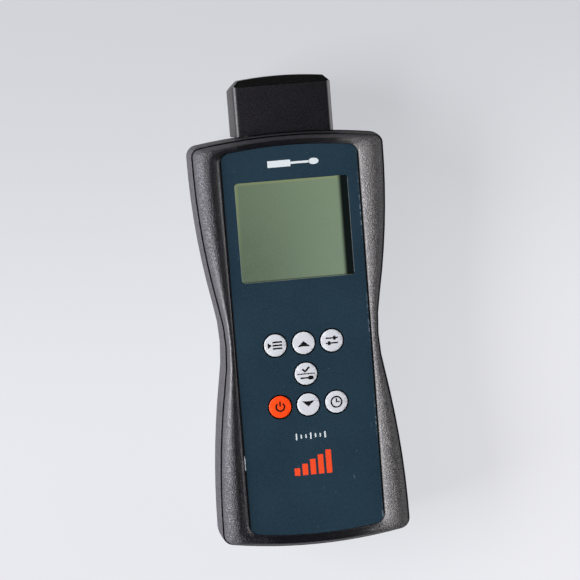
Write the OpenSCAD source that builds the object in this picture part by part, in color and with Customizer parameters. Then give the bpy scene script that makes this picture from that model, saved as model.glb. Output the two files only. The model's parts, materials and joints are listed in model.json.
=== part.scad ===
// Handheld light meter that reads hygiene swabs, lying on its back.
// X runs across the front, Y points to the cap and Z points out of the display.
// The origin is under the middle of the whole object, on the surface it lies on.

/* [Case] */
// Half width of the front shell at its narrow waist
waist_half = 30; // [29.8:0.1:31.4]
// Half width of the front shell at the shoulders by the display
shoulder_half = 37.2; // [36.6:0.1:38.4]
// Distance of the shoulders from the upper end
shoulder_down = 9.5; // [8:0.5:12]
// How much narrower the lower end is than the shoulders on each side
foot_slim = 0.1; // [0:0.1:0.8]
// Distance of the foot's widest place from the lower end
foot_up = 6; // [5:0.5:8]
// Distance of the waist from the lower end
waist_up = 83.5; // [80:0.5:88]
// Radius of the hollow flank at the waist
waist_r = 75; // [60:1:90]
// Radius of the curved upper end
top_arc_r = 240; // [200:10:300]
// Radius of the curved lower end
low_arc_r = 200; // [150:5:260]
// Corner radius at the shoulders
top_corner = 2.4; // [2.2:0.2:5]
// Corner radius at the lower end
low_corner = 2.8; // [2.2:0.2:6]
// Wall thickness of both shells
wall = 2; // [1.6:0.1:2.2]
// Height of the parting line above the back
parting_z = 30.5; // [30:0.1:31]
// Height of the front panel's outer face above the back
face_z = 35.4; // [35.2:0.1:36]
// How far the back's rounding reaches in from the outline
back_inset = 7; // [5:0.5:8]
// Height of the back's rounding
back_round = 14; // [11:1:17]

/* [Parting line] */
// Width of the dark groove between the two shells
groove_w = 0.4; // [0.3:0.05:0.6]
// Depth of that groove
groove_deep = 1.6; // [1:0.1:2]
// Width of the rear shell's edge outside the groove
edge_w = 0.3; // [0.2:0.05:0.6]
// How far that edge lies behind the parting line
edge_down = 0.4; // [0.2:0.1:0.6]
// How far the rear shell swells past its edge
bulge = 0.5; // [0.1:0.1:0.8]
// How much further it swells at the flanks
belly = 0.6; // [0:0.1:0.8]
// Width of the rear shell's lip inside the front shell
lip_w = 0.8; // [0.6:0.1:0.9]
// Height of that lip above the parting line
lip_h = 1; // [0.8:0.1:1.2]
// Clearance between the two shells
shell_gap = 0.2; // [0.1:0.05:0.3]

/* [Rim] */
// Share of the rim's width from the panel to its crest
crest_at = 0.45; // [0.35:0.05:0.55]
// Rise from the panel to the crest, as a share of that width
crest_rise = 0.35; // [0.2:0.05:0.45]

/* [Front panel] */
// Width of the printed panel
panel_w = 54; // [53:0.5:55]
// Margin of the panel from the lower end of the case
panel_up = 6.2; // [5.6:0.2:7]
// Margin of the panel from the upper end of the case
panel_down = 4.5; // [4.2:0.1:5.6]
// Thickness of the panel sheet
panel_t = 0.8; // [0.6:0.1:1]
// Radius of the panel's upper end
panel_top_r = 186; // [160:2:240]
// Radius of the panel's lower end
panel_low_r = 165; // [150:5:240]
// Corner radius of the panel
panel_corner = 3.4; // [2:0.2:5]
// Clearance round the panel in its recess
panel_gap = 0.3; // [0.1:0.05:0.4]
// Thickness of the floor that carries the panel
floor_t = 1.6; // [1.4:0.1:1.8]

/* [Display] */
// Width of the display window
window_w = 44.6; // [42:0.2:45]
// Height of the display window
window_h = 39.4; // [36:0.2:40]
// Distance of the window from the panel's upper end
window_down = 13.4; // [12.4:0.2:15]
// Corner radius of the window
window_corner = 1.4; // [0.5:0.1:2]
// Thickness of the display glass
glass_t = 2.6; // [2.2:0.1:2.8]
// How far the glass reaches past the window on every side
glass_lap = 1.7; // [1.2:0.1:1.8]
// Clearance round the glass in the front shell
glass_gap = 0.3; // [0.2:0.05:0.4]
// Thickness of the black mask on the glass
mask_t = 0.3; // [0.2:0.05:0.4]
// Width of the black mask along the window's right edge
mask_w = 2; // [1:0.1:4]
// How far the mask stays behind the window's other edges
mask_lap = 0.8; // [0.4:0.1:1]
// Thickness of the display's light guide
guide_t = 4.7; // [4.6:0.1:4.9]

/* [Keys] */
// Radius of a round key
key_r = 4.4; // [4:0.1:4.5]
// Dark gap round a key
key_gap = 0.55; // [0.35:0.05:0.6]
// Distance between key columns
key_dx = 11.2; // [11.2:0.1:12.5]
// Distance between key rows
key_dy = 12.3; // [11.6:0.1:12.8]
// Distance of the middle key from the lower end of the case
key_up = 70.6; // [68:0.2:74]
// How far a key stands out of the panel
key_proud = 0.1; // [0.05:0.05:0.4]
// Rise of the key's domed face
key_dome = 0.05; // [0.05:0.05:0.2]
// Rounding of the key's edge
key_round = 0.15; // [0.1:0.05:0.2]
// How far a key goes in
key_travel = 0.5; // [0.3:0.05:0.6]
// Thickness of the flange that keeps the key in
flange_t = 1; // [0.8:0.1:1.2]

/* [Cap] */
// How far the cap stands out of the case
cap_out = 22.5; // [21:0.5:25]
// Half width of the cap's front face
cap_half = 19.4; // [19.2:0.1:20.5]
// How much wider the cap's back is on each side
cap_flare = 1.3; // [0.6:0.1:1.6]
// Depth of the cap from front to back
cap_deep = 18; // [17.8:0.1:18.4]
// Distance of the cap's front face behind the panel
cap_back = 9.4; // [9.2:0.1:9.8]
// Size of the cut edges on top of the cap
cap_cut = 2.6; // [1.5:0.1:3.2]
// Rise of the cap's crowned top
cap_crown = 1; // [0.4:0.1:1.5]
// Radius of the cap's long front edges
cap_edge = 2; // [1:0.1:2.4]
// Wall thickness of the cap
cap_wall = 1.8; // [1.6:0.1:1.9]
// Thickness of the foam pad inside the cap
pad_t = 1.5; // [1:0.1:2]
// Gap between the closed cap and the case
cap_seat = 0.3; // [0.2:0.05:0.5]

/* [Swab well] */
// Radius of the well that takes the swab tube
well_r = 5.6; // [5:0.1:5.7]
// Length of the well
well_len = 97; // [92:1:99]
// Wall thickness of the well
well_wall = 1.2; // [1:0.1:1.3]
// Half width of the collar under the cap
collar_half = 16.4; // [14:0.1:16.6]
// Height of the collar out of the case
collar_out = 11.5; // [10:0.5:12.5]
// Corner radius of the collar
collar_corner = 3; // [2:0.2:4]
// Clearance round the collar in the case
collar_gap = 0.2; // [0.15:0.05:0.3]
// How far the collar's flange reaches past it inside the case
collar_flange = 1.5; // [1:0.1:1.8]
// Thickness of the ribs that carry the well
rib_t = 2; // [1.4:0.1:2.4]
// Width of those ribs
rib_w = 24; // [18:1:28]

/* [Sensor] */
// Length of the sensor housing in front of the well
sensor_len = 12; // [10:0.5:13]
// How far the housing grips the closed end of the well
sensor_grip = 4; // [3:0.5:6]
// Wall of the housing round the well
sensor_wall = 1.2; // [1:0.1:1.3]
// Radius of the light sensor
sensor_r = 4.1; // [3.5:0.1:4.3]
// Thickness of the window in front of the sensor
pane_t = 1.2; // [0.8:0.1:1.4]
// Gap between the sensor housing and the battery bay
sensor_gap = 7; // [3:0.5:9]

/* [Electronics] */
// Thickness of the main board
board_t = 1.6; // [1.4:0.1:1.8]
// Width of the main board
board_w = 47; // [44:0.5:47.5]
// Distance of the main board from the lower end of the case
board_up = 36; // [34:0.5:38]
// Distance of the main board from the upper end of the case
board_down = 9.5; // [9:0.5:12]
// Thickness of the chips under the board
chip_t = 1.4; // [1:0.1:1.8]
// Side of the largest chip
chip_w = 12; // [8:0.5:14]
// Side of a tactile switch
switch_w = 6; // [5:0.1:6.4]
// Height of a tactile switch
switch_h = 3.3; // [3:0.1:3.4]
// Radius of a switch plunger
plunger_r = 1.5; // [1.2:0.1:1.7]
// Height of a switch plunger
plunger_h = 1.6; // [1.4:0.1:1.8]
// Radius of the beeper
beeper_r = 6; // [5:0.5:7]
// Height of the beeper
beeper_h = 5; // [3:0.5:6]

/* [Batteries] */
// Radius of a battery cell
cell_r = 5.25; // [5:0.05:5.3]
// Length of a battery cell
cell_len = 44.5; // [43:0.5:45]
// Gap between neighbouring cells
cell_gap = 0.4; // [0.2:0.1:0.5]
// Room for the contacts at each end of the cells
contact_room = 4; // [3.4:0.2:4.4]
// Distance of the battery bay from the lower end of the case
bay_up = 8.5; // [8:0.1:10]
// Thickness of the bay's walls
bay_wall = 1.4; // [1.2:0.1:1.6]
// Thickness of the battery door
door_t = 1.8; // [1.6:0.1:2]
// How far the door's outer face lies inside the back
door_sunk = 0.3; // [0.2:0.05:0.5]
// Clearance round the door
door_gap = 0.2; // [0.15:0.05:0.3]
// Width of the door's guide rails
rail_w = 1.2; // [0.8:0.1:1.4]
// Width of a groove in the door's thumb rest
thumb_w = 0.8; // [0.6:0.1:1]
// Thickness of the wire in the battery springs
spring_wire = 0.6; // [0.4:0.05:0.7]
// Thickness of the contact plates
plate_t = 0.4; // [0.3:0.05:0.5]

/* [Screws] */
// Radius of a case screw's shank
screw_r = 1.45; // [1.2:0.05:1.5]
// Radius of a case screw's head
screw_head_r = 2.7; // [2.3:0.1:2.8]
// Height of a case screw's head
screw_head_h = 2; // [1.4:0.1:2.2]
// Running clearance round a screw in its hole
screw_gap = 0.05; // [0.03:0.01:0.1]
// Half distance between the case screws across the body
screw_x = 27.6; // [27.3:0.1:27.8]
// Distance of the lower case screws from the lower end of the case
screw_up = 22; // [20:0.5:24]
// Distance of the upper case screws from the upper end of the case
screw_down = 12; // [11:0.5:13]
// Radius of the screw posts
post_r = 3.4; // [3.2:0.1:3.5]
// Height above the back where the posts of the two shells meet
post_meet = 18; // [16:0.5:20]
// How far a case screw reaches into the front shell's post
screw_bite = 10; // [8:0.5:11]
// Radius of a board screw's shank
pin_r = 0.95; // [0.8:0.05:1]
// Radius of a board screw's head
pin_head_r = 1.9; // [1.6:0.1:2.1]
// Height of a board screw's head
pin_head_h = 1.3; // [1:0.1:1.5]
// Radius of the board screws' posts
pin_post_r = 2.3; // [2:0.1:2.4]
// How far a board screw reaches into its post
pin_bite = 4; // [3:0.5:5]

/* [Hidden] */
$fn = 48;

// Battery bay: the cells side by side between their contacts
cells = 4;
cell_pitch = 2 * cell_r + cell_gap;
bay_half = cells * cell_pitch / 2;
bay_len = cell_len + 2 * contact_room;

// Lengths and ends: the case holds the bay, the sensor and the well one behind the other.
body_len = bay_up + bay_len + sensor_gap + sensor_len + well_len - collar_out;
total_len = body_len + cap_out;
y_low = -total_len / 2;
y_top = y_low + body_len;
cap_top = y_low + total_len;
waist_y = y_low + waist_up;
collar_top = y_top + collar_out;
well_end = collar_top - well_len;
sensor_y = well_end - sensor_len;
bay_y = y_low + bay_up;
bay_end = bay_y + bay_len;

// Heights, from the front downwards
floor_top = face_z - panel_t;
floor_low = floor_top - floor_t;
glass_top = floor_top - mask_t;
glass_low = glass_top - glass_t;
board_top = glass_low - guide_t;
board_low = board_top - board_t;
cap_front = face_z - cap_back;
cap_rear = cap_front - cap_deep;
well_z = (cap_front + cap_rear) / 2;

// Parting line: the front shell's skirt stands in a groove of the rear shell.
rear_out = groove_w + edge_w + bulge;
foot_half = shoulder_half - foot_slim;
rear_top = parting_z - edge_down;
ledge_z = rear_top - groove_deep;
skirt_low = ledge_z + shell_gap;
lip_in = wall - lip_w;
lip_top = parting_z + lip_h;

// Overlap of joined solids and overshoot of cuts
bite = 0.5;
over = 1;

// Close clearance and usual clearance between neighbouring pieces
fit_gap = 0.1;
part_gap = 0.3;

// Numbers of points round the outlines
n_end = 6;
n_corner = 5;
n_side = 18;
n_arc = 6;

// The flank is a hollow arc at the waist that runs into a long crowned arc.
function flank(d, reach, rise) =
    let (
        both = (rise * rise + reach * reach) / (2 * rise),
        turn = reach * waist_r / both,
        far = both - waist_r,
        left = reach - d)
    d < turn
        ? waist_r - sqrt(waist_r * waist_r - d * d)
        : rise - far + sqrt(far * far - left * left);
function flank_x(y) =
    let (up = y_top - shoulder_down - waist_y, down = waist_y - y_low - foot_up)
    waist_half + (y > waist_y
        ? flank(min(y - waist_y, up), up, shoulder_half - waist_half)
        : flank(min(waist_y - y, down), down, foot_half - waist_half));

// Height lost by an arc at a distance from its middle
function sag(x, r) = r - sqrt(r * r - x * x);

// A rounded corner from p to q round the sharp corner c
function corner(p, c, q, t) =
    let (a = (1 - t) * (1 - t), b = 2 * sqrt(0.5) * t * (1 - t), d = t * t)
    (a * p + b * c + d * q) / (a + b + d);

// Right half of a closed outline, from the middle of its low end to the middle of its top end
function half_loop(side, top, low, top_rad, low_rad) =
    let (
        low_y = low(side(low(panel_w / 2))),
        top_y = top(side(top(panel_w / 2))),
        lc = [side(low_y), low_y],
        tc = [side(top_y), top_y],
        la = [lc.x - low_rad, low(lc.x - low_rad)],
        lb = [side(lc.y + low_rad), lc.y + low_rad],
        ta = [side(tc.y - top_rad), tc.y - top_rad],
        tb = [tc.x - top_rad, top(tc.x - top_rad)])
    concat(
        [for (k = [0 : n_end - 1]) let (x = la.x * k / n_end) [x, low(x)]],
        [for (k = [0 : n_corner]) corner(la, lc, lb, k / n_corner)],
        [for (k = [1 : n_side - 1]) let (y = lb.y + (ta.y - lb.y) * k / n_side) [side(y), y]],
        [for (k = [0 : n_corner]) corner(ta, tc, tb, k / n_corner)],
        [for (k = [1 : n_end]) let (x = tb.x * (1 - k / n_end)) [x, top(x)]]);
function whole_loop(half) =
    concat(half, [for (k = [len(half) - 2 : -1 : 1]) [-half[k].x, half[k].y]]);

// Outline of the front shell's skirt, moved inwards by an inset
function case_loop(inset, top_rad, low_rad, wider = 0) =
    whole_loop(half_loop(
        function(y) flank_x(y) - inset + wider,
        function(x) y_top - rear_out - inset - sag(x, top_arc_r - inset),
        function(x) y_low + rear_out + inset + sag(x, low_arc_r - inset),
        top_rad, low_rad));
function grown_loop(out, wider = 0) =
    case_loop(-out, max(top_corner + out, fit_gap), max(low_corner + out, fit_gap), wider);

// Outline of the panel, grown by a margin
panel_low = y_low + panel_up;
panel_top = y_top - panel_down;
function panel_loop(grow) =
    whole_loop(half_loop(
        function(y) panel_w / 2 + grow,
        function(x) panel_top + grow - sag(x, panel_top_r),
        function(x) panel_low - grow + sag(x, panel_low_r),
        panel_corner + grow, panel_corner + grow));

// A closed ring swept round the outlines, from one list of section points per station
module ring(sections) {
    n = len(sections);
    m = len(sections[0]);
    polyhedron(
        points = [for (s = sections) each s],
        faces = [for (j = [0 : n - 1], k = [0 : m - 1])
            let (
                a = j * m + k,
                b = j * m + (k + 1) % m,
                c = ((j + 1) % n) * m + (k + 1) % m,
                d = ((j + 1) % n) * m + k)
            each [[a, d, c], [a, c, b]]]);
}
function at(p, z) = [p.x, p.y, z];
function mix(p, q, t) = p + (q - p) * t;

// Section of the front shell's rim between the panel recess and the skirt
function rim_section(inner, outer) =
    let (
        w = norm(outer - inner),
        rise = crest_rise * crest_at * w,
        high = face_z + rise - parting_z,
        skin = (lip_in - shell_gap) / w,
        thick = wall / w,
        step = lip_top + shell_gap,
        deep = floor_low - step)
    concat(
        [at(inner, floor_low)],
        [for (k = [0 : 4]) let (t = k / 4)
            at(mix(inner, outer, crest_at * t), face_z + rise * (1 - pow(1 - t, 2)))],
        [for (k = [1 : n_arc + 1]) let (a = 90 * k / (n_arc + 1))
            at(mix(inner, outer, crest_at + (1 - crest_at) * sin(a)), parting_z + high * cos(a))],
        [at(outer, skirt_low), at(mix(inner, outer, 1 - skin), skirt_low),
            at(mix(inner, outer, 1 - skin), step)],
        [for (k = [0 : 2]) let (a = 25 * k)
            at(mix(inner, outer, (1 - thick) * cos(a)), step + deep * sin(a))]);

// Section of the rear shell from the back, up its inside, over the groove and down its outside
function tub_section(back_in, wall_in, groove, edge, swell, back) =
    let (soft = edge_w / 4)
    concat(
        [at(back_in, 0)],
        [for (k = [0 : n_arc]) let (a = 90 * k / n_arc)
            at(mix(wall_in, back_in, 1 - sin(a)), wall + (back_round - wall) * (1 - cos(a)))],
        [at(wall_in, ledge_z), at(groove, ledge_z), at(groove, rear_top - soft)],
        [for (t = [0.25, 0.75]) at(mix(groove, edge, t), rear_top)],
        [for (k = [0 : 3]) let (t = 1 - k / 3)
            at(mix(swell, edge, t * t), back_round + (rear_top - soft - back_round) * t)],
        [for (k = [1 : n_arc]) let (a = 90 - 90 * k / n_arc)
            at(mix(swell, back, 1 - sin(a)), back_round * (1 - cos(a)))]);

// A rectangle with rounded corners round the origin
module slab(w, h, r) {
    polygon([for (q = [0 : 3], k = [0 : n_arc])
        let (a = 90 * q + 90 * k / n_arc, sx = q == 0 || q == 3 ? 1 : -1, sy = q < 2 ? 1 : -1)
        [sx * (w / 2 - r) + r * cos(a), sy * (h / 2 - r) + r * sin(a)]]);
}

// Keys: columns and rows counted from the middle key
key_cells = [[-1, 1], [0, 1], [1, 1], [0, 0], [-1, -1], [0, -1], [1, -1]];
key_y = y_low + key_up;
function key_at(k) = [key_cells[k].x * key_dx, key_y + key_cells[k].y * key_dy, 0];
key_hole_r = key_r + key_gap;
flange_r = min(key_dx, key_dy) / 2 - part_gap;
flange_low = floor_low - fit_gap - flange_t;
stem_len = 1;
plunger_top = flange_low - stem_len;

// Display window
window_y = panel_top - window_down - window_h / 2;
glass_w = window_w + 2 * glass_lap;
glass_h = window_h + 2 * glass_lap;
module window_hole() {
    translate([0, window_y]) slab(window_w, window_h, window_corner);
}
module glass_outline(grow) {
    translate([0, window_y]) square([glass_w + 2 * grow, glass_h + 2 * grow], center = true);
}
module key_holes() {
    for (k = [0 : len(key_cells) - 1]) translate(key_at(k)) circle(key_hole_r);
}

// Battery door under the bay
door_floor = door_sunk + door_t;
pocket_top = door_floor + door_gap;
door_lap = 1.2;
cell_z = pocket_top + part_gap + fit_gap + cell_r;
bay_top = cell_z + cell_r;
door_half = bay_half + door_lap;
door_low = bay_y - door_lap / 2;
door_end = bay_end + door_lap + part_gap;
rail_low = door_sunk + door_t / 2;

// Case screws, board screws and their posts
screw_spots = [for (x = [-screw_x, screw_x], y = [y_low + screw_up, y_top - screw_down])
    [x, y, 0]];
screw_hole_gap = 0.25;
head_sunk = 1.2;
screw_seat = head_sunk + screw_head_h;
screw_end = post_meet + screw_bite;
board_len = body_len - board_up - board_down;
board_y = y_low + board_up + board_len / 2;
pin_margin = 0.8;
pin_in = pin_post_r + pin_margin;
pin_spots = [for (x = [-1, 1], y = [-1, 1])
    [x * (board_w / 2 - pin_in), board_y + y * (board_len / 2 - pin_in), 0]];
pin_end = board_top + pin_bite;

// Swab well
tube_r = well_r + well_wall;
collar_deep = 2 * tube_r;
flange_y = y_top - rear_out - wall - sag(collar_half + collar_flange, top_arc_r) - bite;

// Every board post and screw post stands on the floor behind the panel.
module front_shell() {
    outer = grown_loop(0);
    inner = panel_loop(panel_gap);
    color([0.075, 0.075, 0.082]) difference() {
        union() {
            ring([for (k = [0 : len(outer) - 1]) rim_section(inner[k], outer[k])]);
            translate([0, 0, floor_low]) linear_extrude(floor_t)
                polygon(panel_loop(panel_gap + bite));
            for (p = screw_spots) translate([p.x, p.y, post_meet])
                cylinder(r = post_r, h = floor_low + bite - post_meet);
            for (p = pin_spots) translate([p.x, p.y, board_top])
                cylinder(r = pin_post_r, h = floor_low + bite - board_top);
        }
        translate([0, 0, floor_low - over]) linear_extrude(floor_t + 2 * over) {
            glass_outline(glass_gap);
            key_holes();
        }
        for (p = screw_spots) translate([p.x, p.y, post_meet - over])
            cylinder(r = screw_r + screw_gap, h = screw_bite + 2 * over);
        for (p = pin_spots) translate([p.x, p.y, board_top - over])
            cylinder(r = pin_r + screw_gap, h = pin_bite + 2 * over);
    }
}

// Rib with a saddle that carries the well's tube
saddle_y = [well_end + sensor_len, (well_end + flange_y) / 2, flange_y - sensor_len];
module saddle(y) {
    translate([0, y + rib_t / 2, 0]) rotate([90, 0, 0]) linear_extrude(rib_t) difference() {
        translate([-rib_w / 2, wall - bite]) square([rib_w, well_z - 2 * wall]);
        translate([0, well_z]) circle(tube_r + fit_gap);
    }
}

// Block under the sensor housing
module sensor_block() {
    high = well_z - tube_r - sensor_wall - fit_gap;
    translate([-tube_r - sensor_wall, sensor_y, wall / 2])
        cube([2 * (tube_r + sensor_wall), sensor_len, high - wall / 2]);
}

// Room for the door and its rails, open towards the lower end
module door_pocket() {
    long = door_end + door_gap - y_low + over;
    wide = door_half + door_gap;
    translate([-wide, y_low - over, -over]) cube([2 * wide, long, pocket_top + over]);
    translate([-wide - rail_w, y_low - over, rail_low - door_gap])
        cube([2 * (wide + rail_w), long, pocket_top - rail_low + door_gap]);
}

module rear_shell() {
    back_in = case_loop(back_inset + bite, back_inset, back_inset);
    wall_in = grown_loop(-wall);
    groove = grown_loop(groove_w);
    edge = grown_loop(groove_w + edge_w);
    swell = grown_loop(rear_out, belly);
    back = case_loop(back_inset, back_inset, back_inset);
    color([0.07, 0.07, 0.076]) difference() {
        union() {
            ring([for (k = [0 : len(back) - 1])
                tub_section(back_in[k], wall_in[k], groove[k], edge[k], swell[k], back[k])]);
            linear_extrude(wall) polygon(back);
            translate([0, 0, ledge_z - over]) linear_extrude(lip_top - ledge_z + over)
                difference() {
                    polygon(grown_loop(-lip_in));
                    polygon(wall_in);
                }
            for (p = screw_spots) translate([p.x, p.y, bite])
                cylinder(r = post_r, h = post_meet - shell_gap - bite);
            for (y = saddle_y) saddle(y);
            translate([-bay_half - bay_wall, bay_y - bay_wall, wall / 2])
                cube([2 * (bay_half + bay_wall), bay_len + 2 * bay_wall, bay_top - wall / 2]);
            sensor_block();
        }
        translate([-bay_half, bay_y, -over]) cube([2 * bay_half, bay_len, bay_top + 2 * over]);
        door_pocket();
        for (p = screw_spots) translate([p.x, p.y, -over]) {
            cylinder(r = screw_r + screw_hole_gap, h = post_meet + 2 * over);
            cylinder(r = screw_head_r + screw_hole_gap, h = screw_seat + over);
        }
        translate([0, flange_y - over, well_z]) rotate([-90, 0, 0])
            linear_extrude(collar_top - flange_y)
            slab(2 * (collar_half + collar_gap), collar_deep + 2 * collar_gap,
                collar_corner + collar_gap);
    }
}

module front_panel() {
    color([0.02, 0.045, 0.068]) translate([0, 0, floor_top]) linear_extrude(panel_t) difference() {
        polygon(panel_loop(0));
        window_hole();
        key_holes();
    }
}

// Black film on the glass, open but for a strip along the window's right edge
module display_mask() {
    color([0.02, 0.02, 0.022]) translate([0, 0, glass_top]) linear_extrude(mask_t) difference() {
        glass_outline(0);
        translate([-window_w / 2 - mask_lap, window_y - window_h / 2 - mask_lap])
            square([window_w + mask_lap - mask_w, window_h + 2 * mask_lap]);
    }
}

module display_glass() {
    color([0.16, 0.2, 0.13]) translate([0, 0, glass_low]) linear_extrude(glass_t)
        glass_outline(0);
}

module light_guide() {
    color([0.85, 0.85, 0.82]) translate([0, 0, board_top]) linear_extrude(guide_t)
        glass_outline(0);
}

module main_board() {
    color([0.05, 0.3, 0.12]) translate([0, 0, board_low]) linear_extrude(board_t) difference() {
        translate([0, board_y]) slab(board_w, board_len, pin_post_r);
        for (p = pin_spots) translate([p.x, p.y]) circle(pin_r + fit_gap);
    }
}

// Processor, memory and amplifier under the board's lower end: middle and size
chip_y = board_y - board_len / 2 + 1.2 * chip_w;
chip_list = [
    [chip_w / 3, chip_y, chip_w, chip_w],
    [chip_w * 1.25, chip_y - chip_w / 2, chip_w / 2, chip_w * 0.66],
    [chip_w * 1.25, chip_y + chip_w / 2, chip_w * 0.66, chip_w / 2]];
module board_chips() {
    color([0.03, 0.03, 0.03]) for (c = chip_list)
        translate([c[0] - c[2] / 2, c[1] - c[3] / 2, board_low - chip_t])
            cube([c[2], c[3], chip_t]);
}

module beeper() {
    color([0.05, 0.05, 0.05])
        translate([-beeper_r - chip_w / 2, chip_y, board_low - beeper_h]) difference() {
            cylinder(r = beeper_r, h = beeper_h);
            translate([0, 0, -over]) cylinder(r = beeper_r / 5, h = 2 * over);
        }
}

// Housings on the board, with room for the plungers to go in
module switch_housings() {
    low = plunger_top - plunger_h - key_travel - part_gap;
    color([0.1, 0.1, 0.1]) for (k = [0 : len(key_cells) - 1]) translate(key_at(k))
        difference() {
            translate([-switch_w / 2, -switch_w / 2, board_top])
                cube([switch_w, switch_w, switch_h]);
            translate([0, 0, low])
                cylinder(r = plunger_r + part_gap, h = board_top + switch_h + over - low);
        }
}

// A key is one turned profile: domed face, skirt, retaining flange and stem.
module key(k, tint) {
    crown = face_z + key_proud;
    round_r = key_r - key_round;
    round_z = crown - key_dome - key_round;
    stem_r = plunger_r - fit_gap;
    ball = (round_r * round_r + key_dome * key_dome) / (2 * key_dome);
    color(tint) translate(key_at(k)) rotate_extrude($fn = 64) polygon(concat(
        [[0, plunger_top], [stem_r, plunger_top], [stem_r, flange_low], [flange_r, flange_low],
            [flange_r, flange_low + flange_t], [key_r, flange_low + flange_t]],
        [for (a = [0 : 30 : 90]) [round_r + key_round * cos(a), round_z + key_round * sin(a)]],
        [for (i = [1 : 5]) let (x = round_r * (1 - i / 5)) [x, crown - sag(x, ball)]]));
}
key_white = [0.72, 0.74, 0.78];
module key_select() key(0, key_white);
module key_up_arrow() key(1, key_white);
module key_set() key(2, key_white);
module key_enter() key(3, key_white);
module key_power() key(4, [0.95, 0.1, 0.01]);
module key_down_arrow() key(5, key_white);
module key_time() key(6, key_white);

module plunger(k) {
    color([0.03, 0.03, 0.03]) translate(key_at(k)) translate([0, 0, plunger_top - plunger_h])
        cylinder(r = plunger_r, h = plunger_h);
}
module plunger_select() plunger(0);
module plunger_up_arrow() plunger(1);
module plunger_set() plunger(2);
module plunger_enter() plunger(3);
module plunger_power() plunger(4);
module plunger_down_arrow() plunger(5);
module plunger_time() plunger(6);

// Dark tube with the collar that the cap closes over
module swab_tube() {
    color([0.04, 0.04, 0.045]) translate([0, 0, well_z]) rotate([-90, 0, 0]) difference() {
        union() {
            translate([0, 0, tube_low]) cylinder(r = tube_r, h = collar_top - over - tube_low);
            translate([0, 0, flange_y]) linear_extrude(collar_top - flange_y)
                slab(2 * collar_half, collar_deep, collar_corner);
            translate([0, 0, flange_y - collar_flange]) linear_extrude(collar_flange)
                slab(2 * (collar_half + collar_flange), collar_deep + collar_flange,
                    collar_corner);
        }
        translate([0, 0, well_end]) cylinder(r = well_r, h = well_len + over);
        translate([0, 0, tube_low - over]) cylinder(r = well_r / 2, h = well_wall + 2 * over);
    }
}

// Sensor at the closed end of the well, behind its window
tube_low = well_end - well_wall;
sensor_fit = 0.05;
sensor_back = sensor_y + wall;
pane_y = tube_low - sensor_fit - pane_t;
module sensor_housing() {
    side = 2 * (tube_r + sensor_wall);
    color([0.05, 0.05, 0.055]) translate([0, 0, well_z]) rotate([-90, 0, 0]) difference() {
        translate([0, 0, sensor_y]) linear_extrude(sensor_len + sensor_grip)
            slab(side, side, wall);
        translate([0, 0, tube_low - sensor_fit])
            cylinder(r = tube_r + sensor_fit, h = sensor_len);
        translate([0, 0, sensor_back])
            cylinder(r = sensor_r + 4 * sensor_fit, h = sensor_len + sensor_grip);
    }
}
module sensor_window() {
    color([0.75, 0.85, 0.9]) translate([0, pane_y, well_z]) rotate([-90, 0, 0])
        cylinder(r = sensor_r + 2 * sensor_fit, h = pane_t);
}
module light_sensor() {
    color([0.6, 0.6, 0.58]) translate([0, sensor_back, well_z]) rotate([-90, 0, 0])
        cylinder(r = sensor_r, h = pane_y - bite - sensor_back);
}

// Pull-off cap: a flared prism with cut top edges and a crowned top, hollow from below
cap_wide = cap_half + cap_flare + over;
cap_roof = cap_top - cap_crown - cap_wall;
module cap_plan() {
    polygon([for (q = [0 : 3], k = [0 : n_arc])
        let (
            a = 90 * q + 90 * k / n_arc,
            sx = q == 0 || q == 3 ? 1 : -1,
            r = q < 2 ? cap_edge : collar_corner,
            x = (q < 2 ? cap_half : cap_half + cap_flare) - r,
            z = q < 2 ? cap_front - r : cap_rear + r)
        [sx * x + r * cos(a), z + r * sin(a)]]);
}
module cap_face() {
    flat = cap_half - cap_cut;
    big = (flat * flat + cap_crown * cap_crown) / (2 * cap_crown);
    low = cap_top - cap_crown - (cap_wide - flat);
    polygon(concat(
        [[-cap_wide, y_low], [cap_wide, y_low], [cap_wide, low]],
        [for (k = [-n_arc : n_arc]) let (x = -flat * k / n_arc) [x, cap_top - sag(x, big)]],
        [[-cap_wide, low]]));
}
module cap_side() {
    cut = cap_crown + cap_cut;
    low = cap_top - cut - over;
    polygon([[y_low, cap_rear - over], [low, cap_rear - over], [cap_top, cap_rear + cut],
        [cap_top, cap_front - cut], [low, cap_front + over], [y_low, cap_front + over]]);
}
module dark_cap() {
    color([0.035, 0.036, 0.04]) difference() {
        intersection() {
            translate([0, cap_top, 0]) rotate([90, 0, 0]) linear_extrude(cap_out + cap_wall)
                cap_plan();
            translate([0, 0, cap_rear - over]) linear_extrude(cap_deep + 2 * over) cap_face();
            translate([-cap_wide, 0, 0]) rotate([90, 0, 90]) linear_extrude(2 * cap_wide)
                cap_side();
        }
        translate([0, y_low, well_z]) rotate([-90, 0, 0]) linear_extrude(cap_roof - y_low)
            slab(2 * (cap_half - cap_wall), cap_deep - 2 * cap_wall, collar_corner);
        translate([0, y_top - top_arc_r + cap_seat, cap_rear - over])
            cylinder(r = top_arc_r, h = cap_deep + 2 * over, $fn = 256);
    }
}
module cap_pad() {
    color([0.1, 0.1, 0.1]) translate([0, cap_roof - pad_t, well_z]) rotate([-90, 0, 0])
        linear_extrude(pad_t)
        slab(2 * (cap_half - cap_wall - part_gap), cap_deep - 2 * (cap_wall + part_gap),
            collar_corner - part_gap);
}

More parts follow.
